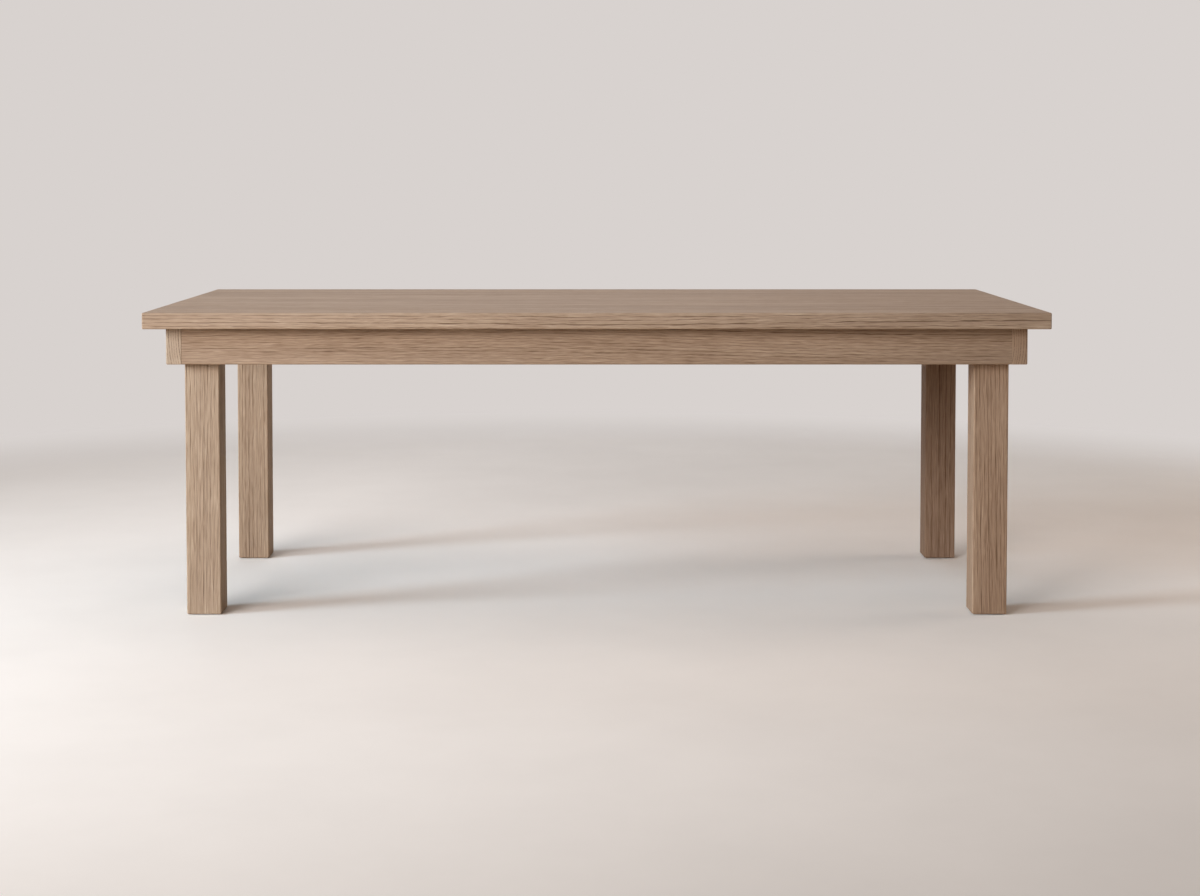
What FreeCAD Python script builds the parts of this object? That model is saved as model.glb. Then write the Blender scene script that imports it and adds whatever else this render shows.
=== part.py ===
# Farmhouse dining table: a plank top on a box of four aprons, with square legs nested in the box's corners.
# Millimetres. The origin is on the floor under the table's centre, +X runs along the table to its right end,
# +Y to its back and +Z up.
import FreeCAD
import Part

import math
import os

from FreeCAD import Placement, Rotation, Vector

# Overall sizes
TABLE_LENGTH = 2200.0
TABLE_WIDTH = 1000.0
TABLE_HEIGHT = 755.0

# Plank top
TOP_THICKNESS = 40.0
TOP_OVERHANG = 48.0
BOARD_COUNT = 7
TOP_ARRIS = 3.0

# Apron box
APRON_HEIGHT = 90.0
APRON_THICKNESS = 38.0
APRON_ARRIS = 3.0

# Legs
LEG_SIDE = 85.0
LEG_ARRIS = 2.5
LEG_CORNER_FLAT = 18.0

# Cross rails between the long aprons
RAIL_THICKNESS = 30.0
RAIL_HEIGHT = 64.0
RAIL_TENON_LENGTH = 14.0
RAIL_TENON_THICKNESS = 16.0
RAIL_TENON_HEIGHT = 44.0

# Corner blocks that draw the legs into the corners
BLOCK_THICKNESS = 35.0
BLOCK_HEIGHT = 74.0

# Wooden buttons that hold the top down and let it swell across its width
BUTTON_LENGTH = 40.0
BUTTON_DEPTH = 32.0
BUTTON_HEIGHT = 24.0
BUTTON_TONGUE = 10.0
BUTTON_TONGUE_HEIGHT = 9.0
BUTTON_LIP = 12.0
BUTTON_SLOT_ROOM = 5.0

# Dowels
DOWEL_RADIUS = 5.0
DOWEL_LENGTH = 60.0
BOARD_DOWEL_COUNT = 8
BOARD_DOWEL_MARGIN = 100.0
CORNER_DOWEL_COUNT = 3
CORNER_DOWEL_PITCH = 26.0
CORNER_DOWEL_IN_END_APRON = 24.0

# Hanger bolts, washers and nuts, M10
BOLT_RADIUS = 5.0
BOLT_IN_LEG = 55.0
BOLT_TIP = 8.0
BOLT_PAST_NUT = 5.0
BOLT_PITCH = 38.0
WASHER_RADIUS = 12.0
WASHER_THICKNESS = 2.0
NUT_ACROSS_FLATS = 16.0
NUT_HEIGHT = 8.0

# Wood screws
SCREW_RADIUS = 2.25
SCREW_HEAD_RADIUS = 4.5
SCREW_HEAD_HEIGHT = 2.6
SCREW_TIP = 6.0
BLOCK_SCREW_LENGTH = 48.0
BLOCK_SCREW_PITCH = 40.0
BLOCK_SCREW_SEAT = 18.0
BUTTON_SCREW_LENGTH = 38.0
RAIL_SCREW_LENGTH = 58.0
RAIL_SCREW_SEAT = 32.0
GLIDE_SCREW_LENGTH = 26.0

# Foot glides, let into the undersides of the legs
GLIDE_RADIUS = 19.0
GLIDE_THICKNESS = 6.0
GLIDE_PROUD = 2.0
GLIDE_ARRIS = 0.8
GLIDE_SCREW_SEAT = 3.4

# Chamfers on the ends of dowels and bolts, and gaps left for glue and for turning screws
END_CHAMFER = 1.0
GLUE_GAP = 0.05
SCREW_GAP = 0.05
DRIVER_GAP = 0.6
BOLT_GAP = 0.5
END_GAP = 1.0

# Places that follow from the sizes above
TOP_UNDERSIDE = TABLE_HEIGHT - TOP_THICKNESS
BOARD_WIDTH = TABLE_WIDTH / BOARD_COUNT
BOX_HALF_LENGTH = TABLE_LENGTH / 2 - TOP_OVERHANG
BOX_HALF_WIDTH = TABLE_WIDTH / 2 - TOP_OVERHANG
INNER_HALF_LENGTH = BOX_HALF_LENGTH - APRON_THICKNESS
INNER_HALF_WIDTH = BOX_HALF_WIDTH - APRON_THICKNESS
APRON_BOTTOM = TOP_UNDERSIDE - APRON_HEIGHT
APRON_MIDDLE = TOP_UNDERSIDE - APRON_HEIGHT / 2
BLOCK_BOTTOM = APRON_MIDDLE - BLOCK_HEIGHT / 2
FLAT_SUM = 2 * LEG_SIDE - LEG_CORNER_FLAT
BLOCK_BACK_SUM = FLAT_SUM + BLOCK_THICKNESS * math.sqrt(2)
BLOCK_SCREW_OFFSET = FLAT_SUM + LEG_CORNER_FLAT
RAIL_CENTRES = (-INNER_HALF_LENGTH / 3, INNER_HALF_LENGTH / 3)
RAIL_BOTTOM = TOP_UNDERSIDE - RAIL_HEIGHT
RAIL_MIDDLE = TOP_UNDERSIDE - RAIL_HEIGHT / 2
RAIL_SCREW_PLACES = (-0.8, -0.3, 0.3, 0.8)
LONG_BUTTON_PLACES = (-0.64, -0.17, 0.17, 0.64)
END_BUTTON_PLACES = (-0.28, 0.28)

X_AXIS = Vector(1, 0, 0)
Y_AXIS = Vector(0, 1, 0)
Z_AXIS = Vector(0, 0, 1)
DIAGONAL = Vector(1, 1, 0).normalize()

# Corners in the order of quarter turns, each with its outward signs along X and Y
CORNERS = (("front_left", -1, -1), ("front_right", 1, -1), ("back_right", 1, 1), ("back_left", -1, 1))


def block(low, high):
    """A box between two opposite corners."""
    size = high - low
    return Part.makeBox(size.x, size.y, size.z, low)


def rod(radius, start, end):
    """A cylinder between two points."""
    return Part.makeCylinder(radius, (end - start).Length, start, end - start)


def lathe(outline):
    """A closed outline in the XZ plane turned about Z into a solid."""
    return Part.Face(Part.makePolygon(outline)).revolve(Vector(0, 0, 0), Z_AXIS, 360)


def ease(shape, radius, wanted):
    """Rounds the edges whose middle point passes the test."""
    edges = [e for e in shape.Edges if wanted(e.valueAt((e.FirstParameter + e.LastParameter) / 2))]
    return shape.makeFillet(radius, edges)


def near(a, b):
    """Whether two lengths are the same."""
    return abs(a - b) < 1e-6


def without(shape, tools):
    """The shape with every tool cut out of it."""
    return shape.cut(tools) if tools else shape


def aimed(shape, point, direction):
    """A shape made along +Z from the origin, turned to a direction and moved to a point."""
    moved = shape.copy()
    moved.Placement = Placement(point, Rotation(Z_AXIS, direction))
    return moved


def at_corner(shape, index):
    """A shape made in the inner corner at +X +Y from the origin, set into one corner of the apron box."""
    _, side_x, side_y = CORNERS[index]
    moved = shape.copy()
    corner = Vector(side_x * INNER_HALF_LENGTH, side_y * INNER_HALF_WIDTH, 0)
    moved.Placement = Placement(corner, Rotation(Z_AXIS, 90.0 * index)).multiply(shape.Placement)
    return moved


def dowel():
    """A dowel pin along +Z, centred on the origin, with chamfered ends."""
    half = DOWEL_LENGTH / 2
    pin = rod(DOWEL_RADIUS, Vector(0, 0, -half), Vector(0, 0, half))
    return pin.makeChamfer(END_CHAMFER, [e for e in pin.Edges if near(abs(e.CenterOfMass.z), half)])


def screw(length):
    """A countersunk wood screw with its head's top at the origin and its point along +Z."""
    outline = [
        Vector(0, 0, 0),
        Vector(SCREW_HEAD_RADIUS, 0, 0),
        Vector(SCREW_RADIUS, 0, SCREW_HEAD_HEIGHT),
        Vector(SCREW_RADIUS, 0, length - SCREW_TIP),
        Vector(0, 0, length),
        Vector(0, 0, 0),
    ]
    return lathe(outline)


def screw_hole(length, driver_room):
    """What a screw and the driver behind it need clear, placed as the screw is."""
    head = SCREW_HEAD_RADIUS + DRIVER_GAP
    shank = SCREW_RADIUS + SCREW_GAP
    mouth = -driver_room - DRIVER_GAP
    outline = [
        Vector(0, 0, mouth),
        Vector(head, 0, mouth),
        Vector(head, 0, 0),
        Vector(shank, 0, head - shank),
        Vector(shank, 0, length),
        Vector(0, 0, length + shank),
        Vector(0, 0, mouth),
    ]
    return lathe(outline)


# Where the fasteners stand

def board_dowel_places():
    """The middle of each dowel between neighbouring boards."""
    span = TABLE_LENGTH - 2 * BOARD_DOWEL_MARGIN
    places = []
    for joint in range(1, BOARD_COUNT):
        y = -TABLE_WIDTH / 2 + joint * BOARD_WIDTH
        for k in range(BOARD_DOWEL_COUNT):
            x = -span / 2 + span * k / (BOARD_DOWEL_COUNT - 1)
            places.append(Vector(x, y, TOP_UNDERSIDE + TOP_THICKNESS / 2))
    return places


def corner_dowel_places():
    """The middle of each dowel between an end apron and the long apron that meets it."""
    inset = DOWEL_LENGTH / 2 - CORNER_DOWEL_IN_END_APRON
    places = []
    for _, side_x, side_y in CORNERS:
        for k in range(CORNER_DOWEL_COUNT):
            x = side_x * (INNER_HALF_LENGTH - inset)
            y = side_y * (BOX_HALF_WIDTH - APRON_THICKNESS / 2)
            z = APRON_MIDDLE + (k - (CORNER_DOWEL_COUNT - 1) / 2) * CORNER_DOWEL_PITCH
            places.append(Vector(x, y, z))
    return places


def button_places():
    """Each button's point on its apron's inner face, level with the top's underside, and its way inwards."""
    places = []
    for side in (-1, 1):
        for share in LONG_BUTTON_PLACES:
            point = Vector(share * INNER_HALF_LENGTH, side * INNER_HALF_WIDTH, TOP_UNDERSIDE)
            places.append((point, Vector(0, -side, 0)))
        for share in END_BUTTON_PLACES:
            point = Vector(side * INNER_HALF_LENGTH, share * INNER_HALF_WIDTH, TOP_UNDERSIDE)
            places.append((point, Vector(-side, 0, 0)))
    return places


def button_screw_places():
    """The top of each button screw's head, in the middle of a button's underside."""
    drop = Z_AXIS * BUTTON_HEIGHT
    return [point + inwards * (BUTTON_DEPTH / 2) - drop for point, inwards in button_places()]


def rail_screw_places():
    """The top of each cross rail screw's head, inside its counterbore."""
    return [
        Vector(x, share * INNER_HALF_WIDTH, RAIL_BOTTOM + RAIL_SCREW_SEAT)
        for x in RAIL_CENTRES
        for share in RAIL_SCREW_PLACES
    ]


def leg_centres():
    """The middle of each leg's plan, on the floor."""
    inset = LEG_SIDE / 2
    return [
        Vector(side_x * (INNER_HALF_LENGTH - inset), side_y * (INNER_HALF_WIDTH - inset), 0)
        for _, side_x, side_y in CORNERS
    ]


def bolt_heights():
    """The two levels of the hanger bolts."""
    return (APRON_MIDDLE - BOLT_PITCH / 2, APRON_MIDDLE + BOLT_PITCH / 2)


def diagonal_point(corner_sum, height):
    """The point of the corner's diagonal where the distances from both inner faces add up to a sum."""
    return Vector(corner_sum / 2, corner_sum / 2, height)


def block_screw_places():
    """Each corner block screw's head and aim, in the corner's own frame."""
    places = []
    for level in (-1, 1):
        z = APRON_MIDDLE + level * BLOCK_SCREW_PITCH / 2
        places.append((Vector(BLOCK_SCREW_OFFSET, BLOCK_SCREW_SEAT, z), Vector(0, -1, 0)))
        places.append((Vector(BLOCK_SCREW_SEAT, BLOCK_SCREW_OFFSET, z), Vector(-1, 0, 0)))
    return places


def upward_screws(places, length):
    """Screws driven straight up from their heads' places."""
    return [aimed(screw(length), place, Z_AXIS) for place in places]


def upward_holes(places, length, driver_room):
    """The room that screws driven straight up need."""
    return [aimed(screw_hole(length, driver_room), place, Z_AXIS) for place in places]


# The plank top

def dowel_holes(places, direction):
    """Holes for dowels at their middles' places, a little longer than the dowels."""
    reach = direction * (DOWEL_LENGTH / 2 + END_GAP)
    return [rod(DOWEL_RADIUS + GLUE_GAP, place - reach, place + reach) for place in places]


def top_board(index):
    """One plank of the top, with the table's outer arrises eased and its dowel and screw holes drilled."""
    front = -TABLE_WIDTH / 2 + index * BOARD_WIDTH
    back = front + BOARD_WIDTH
    low = Vector(-TABLE_LENGTH / 2, front, TOP_UNDERSIDE)
    plank = block(low, Vector(TABLE_LENGTH / 2, back, TABLE_HEIGHT))

    def on_rim(p):
        faces = (
            near(abs(p.x), TABLE_LENGTH / 2),
            near(abs(p.y), TABLE_WIDTH / 2),
            near(p.z, TABLE_HEIGHT) or near(p.z, TOP_UNDERSIDE),
        )
        return sum(faces) > 1

    plank = ease(plank, TOP_ARRIS, on_rim)
    joints = [p for p in board_dowel_places() if near(p.y, front) or near(p.y, back)]
    holes = dowel_holes(joints, Y_AXIS)
    for places, length in (
        (button_screw_places(), BUTTON_SCREW_LENGTH),
        (rail_screw_places(), RAIL_SCREW_LENGTH),
    ):
        holes += upward_holes([p for p in places if front < p.y < back], length, 0.0)
    return without(plank, holes)


# The apron box

def button_slot(point, inwards):
    """The slot in an apron that takes one button's tongue, with room for the button to slide."""
    along = Z_AXIS.cross(inwards)
    half = BUTTON_LENGTH / 2 + BUTTON_SLOT_ROOM
    bottom = point - Z_AXIS * (BUTTON_LIP + BUTTON_TONGUE_HEIGHT + END_GAP)
    a = bottom - along * half - inwards * (BUTTON_TONGUE + END_GAP)
    b = point + along * half - Z_AXIS * BUTTON_LIP
    low = Vector(min(a.x, b.x), min(a.y, b.y), min(a.z, b.z))
    high = Vector(max(a.x, b.x), max(a.y, b.y), max(a.z, b.z))
    return block(low, high)


def apron_holes(inwards):
    """The slots, dowel holes and screw holes of the apron whose inner face looks that way."""
    holes = [button_slot(point, way) for point, way in button_places() if (way - inwards).Length < 0.5]
    holes += dowel_holes(corner_dowel_places(), X_AXIS)
    for index in range(len(CORNERS)):
        for place, aim in block_screw_places():
            holes.append(at_corner(aimed(screw_hole(BLOCK_SCREW_LENGTH, 0.0), place, aim), index))
    return holes


def rail_tenons(x, side_gap, end_gap):
    """A bar the length of a cross rail with both its tenons, swollen by the gaps to cut their mortises."""
    half = RAIL_TENON_THICKNESS / 2 + side_gap
    reach = INNER_HALF_WIDTH + RAIL_TENON_LENGTH + end_gap
    rise = RAIL_TENON_HEIGHT / 2 + side_gap
    return block(Vector(x - half, -reach, RAIL_MIDDLE - rise), Vector(x + half, reach, RAIL_MIDDLE + rise))


def long_apron(side):
    """The front or back apron, which runs between the end aprons."""
    outer = side * BOX_HALF_WIDTH
    inner = side * INNER_HALF_WIDTH
    low = Vector(-INNER_HALF_LENGTH, min(outer, inner), APRON_BOTTOM)
    board = block(low, Vector(INNER_HALF_LENGTH, max(outer, inner), TOP_UNDERSIDE))
    board = ease(board, APRON_ARRIS, lambda p: near(p.z, APRON_BOTTOM) and near(p.x, 0))
    mortises = [rail_tenons(x, GLUE_GAP, END_GAP) for x in RAIL_CENTRES]
    return without(board, mortises + apron_holes(Vector(0, -side, 0)))


def end_apron(side):
    """The left or right apron, which runs the box's whole width and shows its ends at the front and back."""
    outer = side * BOX_HALF_LENGTH
    inner = side * INNER_HALF_LENGTH
    low = Vector(min(outer, inner), -BOX_HALF_WIDTH, APRON_BOTTOM)
    board = block(low, Vector(max(outer, inner), BOX_HALF_WIDTH, TOP_UNDERSIDE))

    def shows(p):
        below = near(p.z, APRON_BOTTOM) and (near(p.x, outer) or near(abs(p.y), BOX_HALF_WIDTH))
        return below or (near(p.x, outer) and near(abs(p.y), BOX_HALF_WIDTH))

    return without(ease(board, APRON_ARRIS, shows), apron_holes(Vector(-side, 0, 0)))


def cross_rail(x):
    """A rail across the box, stub-tenoned into both long aprons and screwed up into the top."""
    half = RAIL_THICKNESS / 2
    low = Vector(x - half, -INNER_HALF_WIDTH, RAIL_BOTTOM)
    rail = block(low, Vector(x + half, INNER_HALF_WIDTH, TOP_UNDERSIDE))
    holes = upward_holes([p for p in rail_screw_places() if near(p.x, x)], RAIL_SCREW_LENGTH, RAIL_HEIGHT)
    return without(rail.fuse(rail_tenons(x, 0.0, 0.0)).removeSplitter(), holes)


# Legs and corner blocks

def bolt_holes():
    """The hanger bolts' holes, in the corner's own frame."""
    deep = DIAGONAL * (BOLT_IN_LEG + END_GAP)
    holes = []
    for height in bolt_heights():
        face = diagonal_point(FLAT_SUM, height)
        holes.append(rod(BOLT_RADIUS + GLUE_GAP, face - deep, face))
        holes.append(rod(BOLT_RADIUS + BOLT_GAP, face, diagonal_point(BLOCK_BACK_SUM, height)))
    return holes


def corner_prism(near_sum, far_sum, bottom, top):
    """The wedge of a corner between two lines across its diagonal."""
    outline = [
        Vector(near_sum, 0, bottom),
        Vector(far_sum, 0, bottom),
        Vector(0, far_sum, bottom),
        Vector(0, near_sum, bottom),
        Vector(near_sum, 0, bottom),
    ]
    return Part.Face(Part.makePolygon(outline)).extrude(Vector(0, 0, top - bottom))


def leg(index):
    """A square leg, flat on its inner arris where the corner block bears and recessed below for its glide."""
    post = block(Vector(0, 0, GLIDE_PROUD), Vector(LEG_SIDE, LEG_SIDE, TOP_UNDERSIDE))
    post = ease(post, LEG_ARRIS, lambda p: not near(p.z, TOP_UNDERSIDE))
    cuts = [corner_prism(FLAT_SUM, 2 * FLAT_SUM, BLOCK_BOTTOM - END_GAP, TABLE_HEIGHT)]
    cuts += bolt_holes()
    middle = Vector(LEG_SIDE / 2, LEG_SIDE / 2, 0)
    cuts.append(rod(GLIDE_RADIUS + GLUE_GAP, middle, middle + Z_AXIS * GLIDE_THICKNESS))
    cuts.append(aimed(screw_hole(GLIDE_SCREW_LENGTH, 0.0), middle + Z_AXIS * GLIDE_SCREW_SEAT, Z_AXIS))
    return at_corner(without(post, cuts), index)


def corner_block(index):
    """A diagonal block across an inner corner, bolted to the leg and screwed to both aprons."""
    wedge = corner_prism(FLAT_SUM, BLOCK_BACK_SUM, BLOCK_BOTTOM, BLOCK_BOTTOM + BLOCK_HEIGHT)
    holes = bolt_holes()
    for place, aim in block_screw_places():
        holes.append(aimed(screw_hole(BLOCK_SCREW_LENGTH, BLOCK_THICKNESS), place, aim))
    return at_corner(without(wedge, holes), index)


# Hardware

def in_every_corner(shapes):
    """Copies of shapes made in the corner's own frame, set into all four corners."""
    return [at_corner(shape, index) for index in range(len(CORNERS)) for shape in shapes]


def hanger_bolts():
    """Pointed hanger bolts, from inside each leg to past its nut."""
    length = BOLT_IN_LEG + BLOCK_THICKNESS + WASHER_THICKNESS + NUT_HEIGHT + BOLT_PAST_NUT
    outline = [
        Vector(0, 0, 0),
        Vector(BOLT_RADIUS, 0, BOLT_TIP),
        Vector(BOLT_RADIUS, 0, length - END_CHAMFER),
        Vector(BOLT_RADIUS - END_CHAMFER, 0, length),
        Vector(0, 0, length),
        Vector(0, 0, 0),
    ]
    bolt = lathe(outline)
    tips = [diagonal_point(FLAT_SUM, height) - DIAGONAL * BOLT_IN_LEG for height in bolt_heights()]
    return in_every_corner([aimed(bolt, tip, DIAGONAL) for tip in tips])


def bolt_washers():
    """Flat washers on the corner blocks' inner faces."""
    ring = rod(WASHER_RADIUS, Vector(0, 0, 0), Z_AXIS * WASHER_THICKNESS)
    ring = ring.cut(rod(BOLT_RADIUS + BOLT_GAP, -Z_AXIS, Z_AXIS * (WASHER_THICKNESS + 1)))
    places = [diagonal_point(BLOCK_BACK_SUM, height) for height in bolt_heights()]
    return in_every_corner([aimed(ring, place, DIAGONAL) for place in places])


def bolt_nuts():
    """Hexagon nuts on the washers."""
    across_corners = NUT_ACROSS_FLATS / math.cos(math.pi / 6)
    turns = [k * math.pi / 3 for k in range(7)]
    corners = [Vector(math.cos(turn), math.sin(turn), 0) * (across_corners / 2) for turn in turns]
    nut = Part.Face(Part.makePolygon(corners)).extrude(Z_AXIS * NUT_HEIGHT)
    nut = nut.cut(rod(BOLT_RADIUS + GLUE_GAP, -Z_AXIS, Z_AXIS * (NUT_HEIGHT + 1)))
    seat = DIAGONAL * WASHER_THICKNESS
    places = [diagonal_point(BLOCK_BACK_SUM, height) + seat for height in bolt_heights()]
    return in_every_corner([aimed(nut, place, DIAGONAL) for place in places])


def corner_block_screws():
    """Screws from the corner blocks into the aprons."""
    one = screw(BLOCK_SCREW_LENGTH)
    return in_every_corner([aimed(one, place, aim) for place, aim in block_screw_places()])


def top_buttons():
    """Wooden buttons, each with a tongue in its apron's slot and a countersunk screw hole."""
    half = BUTTON_LENGTH / 2
    body = block(Vector(0, -half, -BUTTON_HEIGHT), Vector(BUTTON_DEPTH, half, 0))
    tongue = block(
        Vector(-BUTTON_TONGUE, -half, -BUTTON_LIP - BUTTON_TONGUE_HEIGHT), Vector(0, half, -BUTTON_LIP)
    )
    shape = body.fuse(tongue).removeSplitter()
    head = Vector(BUTTON_DEPTH / 2, 0, -BUTTON_HEIGHT)
    shape = without(shape, upward_holes([head], BUTTON_SCREW_LENGTH, 0.0))
    turned = []
    for point, inwards in button_places():
        copy = shape.copy()
        copy.Placement = Placement(point, Rotation(Z_AXIS, math.degrees(math.atan2(inwards.y, inwards.x))))
        turned.append(copy)
    return turned


def foot_glides():
    """Round glides let into the legs' undersides, standing a little proud of them."""
    disc = rod(GLIDE_RADIUS, Vector(0, 0, 0), Z_AXIS * GLIDE_THICKNESS)
    disc = ease(disc, GLIDE_ARRIS, lambda p: near(p.z, 0))
    disc = without(disc, upward_holes([Z_AXIS * GLIDE_SCREW_SEAT], GLIDE_SCREW_LENGTH, GLIDE_THICKNESS))
    return [aimed(disc, centre, Z_AXIS) for centre in leg_centres()]


def model():
    """Every node's name with its shape."""
    nodes = {f"top_board_{i + 1}": top_board(i) for i in range(BOARD_COUNT)}
    nodes["top_board_dowels"] = [aimed(dowel(), place, Y_AXIS) for place in board_dowel_places()]
    nodes["front_apron"] = long_apron(-1)
    nodes["back_apron"] = long_apron(1)
    nodes["left_end_apron"] = end_apron(-1)
    nodes["right_end_apron"] = end_apron(1)
    nodes["apron_corner_dowels"] = [aimed(dowel(), place, X_AXIS) for place in corner_dowel_places()]
    nodes["left_cross_rail"] = cross_rail(RAIL_CENTRES[0])
    nodes["right_cross_rail"] = cross_rail(RAIL_CENTRES[1])
    for index, (name, _, _) in enumerate(CORNERS):
        nodes[f"{name}_leg"] = leg(index)
        nodes[f"{name}_corner_block"] = corner_block(index)
    nodes["leg_hanger_bolts"] = hanger_bolts()
    nodes["leg_bolt_washers"] = bolt_washers()
    nodes["leg_bolt_nuts"] = bolt_nuts()
    nodes["corner_block_screws"] = corner_block_screws()
    nodes["cross_rail_screws"] = upward_screws(rail_screw_places(), RAIL_SCREW_LENGTH)
    nodes["top_buttons"] = top_buttons()
    nodes["top_button_screws"] = upward_screws(button_screw_places(), BUTTON_SCREW_LENGTH)
    nodes["foot_glides"] = foot_glides()
    glide_heads = [centre + Z_AXIS * GLIDE_SCREW_SEAT for centre in leg_centres()]
    nodes["foot_glide_screws"] = upward_screws(glide_heads, GLIDE_SCREW_LENGTH)
    return nodes


def main():
    """Writes one STEP file for each node."""
    os.makedirs("parts", exist_ok=True)
    for name, shape in model().items():
        solids = shape if isinstance(shape, list) else [shape]
        whole = Part.makeCompound([solid for piece in solids for solid in piece.Solids])
        whole.exportStep(os.path.join("parts", f"{name}.step"))
        box = whole.BoundBox
        size = f"{box.XLength:.1f} x {box.YLength:.1f} x {box.ZLength:.1f} mm"
        print(f"{name}: {len(whole.Solids)} solids, valid {whole.isValid()}, {size}")


if __name__ == "__main__":
    main()
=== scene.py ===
"""Farmhouse dining table in pale brushed oak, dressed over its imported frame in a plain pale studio."""
import logging
import math
from dataclasses import dataclass
from enum import Enum

import bmesh
import bpy
import numpy as np
from mathutils import Matrix, Vector


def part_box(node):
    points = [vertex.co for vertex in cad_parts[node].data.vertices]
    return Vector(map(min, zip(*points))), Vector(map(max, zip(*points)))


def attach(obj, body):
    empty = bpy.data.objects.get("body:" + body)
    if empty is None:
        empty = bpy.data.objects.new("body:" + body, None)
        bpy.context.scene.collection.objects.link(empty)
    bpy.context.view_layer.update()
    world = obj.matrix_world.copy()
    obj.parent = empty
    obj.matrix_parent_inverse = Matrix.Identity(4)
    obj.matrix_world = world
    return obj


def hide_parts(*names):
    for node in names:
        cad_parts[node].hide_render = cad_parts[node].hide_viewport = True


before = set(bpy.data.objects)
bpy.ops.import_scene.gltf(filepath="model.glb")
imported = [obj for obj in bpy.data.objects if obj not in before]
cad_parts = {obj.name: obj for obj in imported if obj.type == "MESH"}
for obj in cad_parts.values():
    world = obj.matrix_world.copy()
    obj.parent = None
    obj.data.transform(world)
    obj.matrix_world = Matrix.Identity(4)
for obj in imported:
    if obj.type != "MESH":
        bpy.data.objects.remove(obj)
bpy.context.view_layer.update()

Material = bpy.types.Material
Node = bpy.types.Node
Piece = bpy.types.Object
Socket = bpy.types.NodeSocket
Feed = Socket | float | int | bool | str | tuple
Span = tuple[Feed, Feed]
Pair = tuple[float, float]
Triple = tuple[float, float, float]
Colour = tuple[float, float, float, float]

log = logging.getLogger("farmhouse_table")

BODY = "root"
MM = 0.001
WELD = 0.002 * MM
# Where most of a noise lies, between 0 and 1
NOISE_MIDDLE = (0.3, 0.7)


class Axis(Enum):
    """The way a board's grain runs, with the ways across it and through it."""

    LENGTHWAYS = ((1.0, 0.0, 0.0), (0.0, 1.0, 0.0), (0.0, 0.0, 1.0))
    LENGTHWAYS_ON_EDGE = ((1.0, 0.0, 0.0), (0.0, 0.0, 1.0), (0.0, 1.0, 0.0))
    CROSSWAYS_ON_EDGE = ((0.0, 1.0, 0.0), (0.0, 0.0, 1.0), (1.0, 0.0, 0.0))
    UPRIGHT = ((0.0, 0.0, 1.0), (1.0, 0.0, 0.0), (0.0, 1.0, 0.0))


def tint(red: int, green: int, blue: int) -> Colour:
    """A display colour, 0 to 255 a channel, as the linear colour that shaders take.

    Args:
        red: Red channel.
        green: Green channel.
        blue: Blue channel.

    Returns:
        Linear red, green, blue and a full alpha.
    """

    def straight(level: int) -> float:
        """One channel without its display curve."""
        share = level / 255.0
        return share / 12.92 if share <= 0.04045 else ((share + 0.055) / 1.055) ** 2.4

    return straight(red), straight(green), straight(blue), 1.0


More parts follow.
